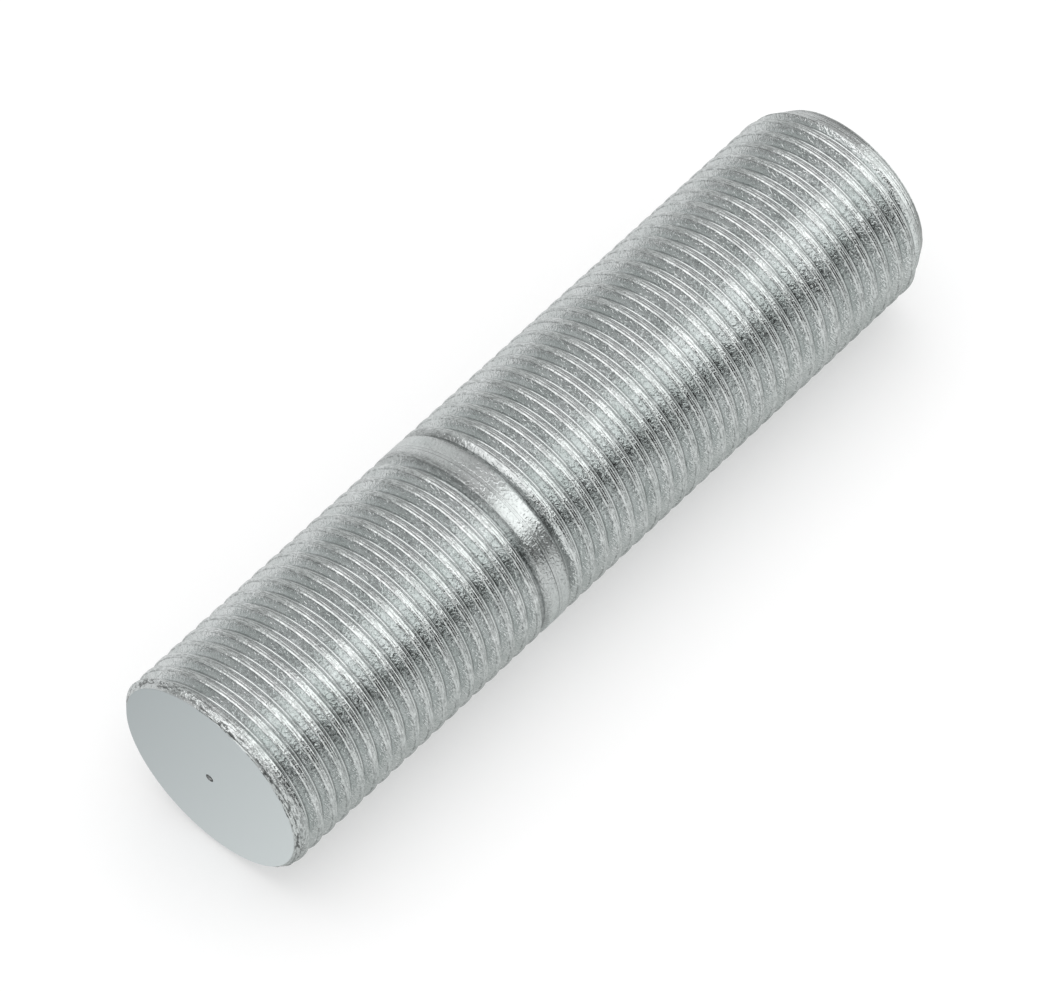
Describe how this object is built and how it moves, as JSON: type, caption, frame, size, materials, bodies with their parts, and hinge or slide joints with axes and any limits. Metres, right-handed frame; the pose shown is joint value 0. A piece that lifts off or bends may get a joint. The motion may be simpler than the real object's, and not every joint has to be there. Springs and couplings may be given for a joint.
{
  "type": "wheel stud",
  "caption": "Headless wheel stud: a plain steel rod with a fine right-hand thread on each end, a short plain land between the threads, a flat hub end and a chamfered nut end.",
  "frame": {"origin": "centre of the flat hub end", "axes": "+Z along the stud from the hub end to the nut end; X and Y across it, with no marked direction"},
  "size_m": [0.0178, 0.0178, 0.0725],
  "materials": {
    "zinc_steel": "rolled and zinc plated, bright and slightly mottled"
  },
  "bodies": {
    "root": {"stud": "zinc_steel"}
  },
  "joints": []
}
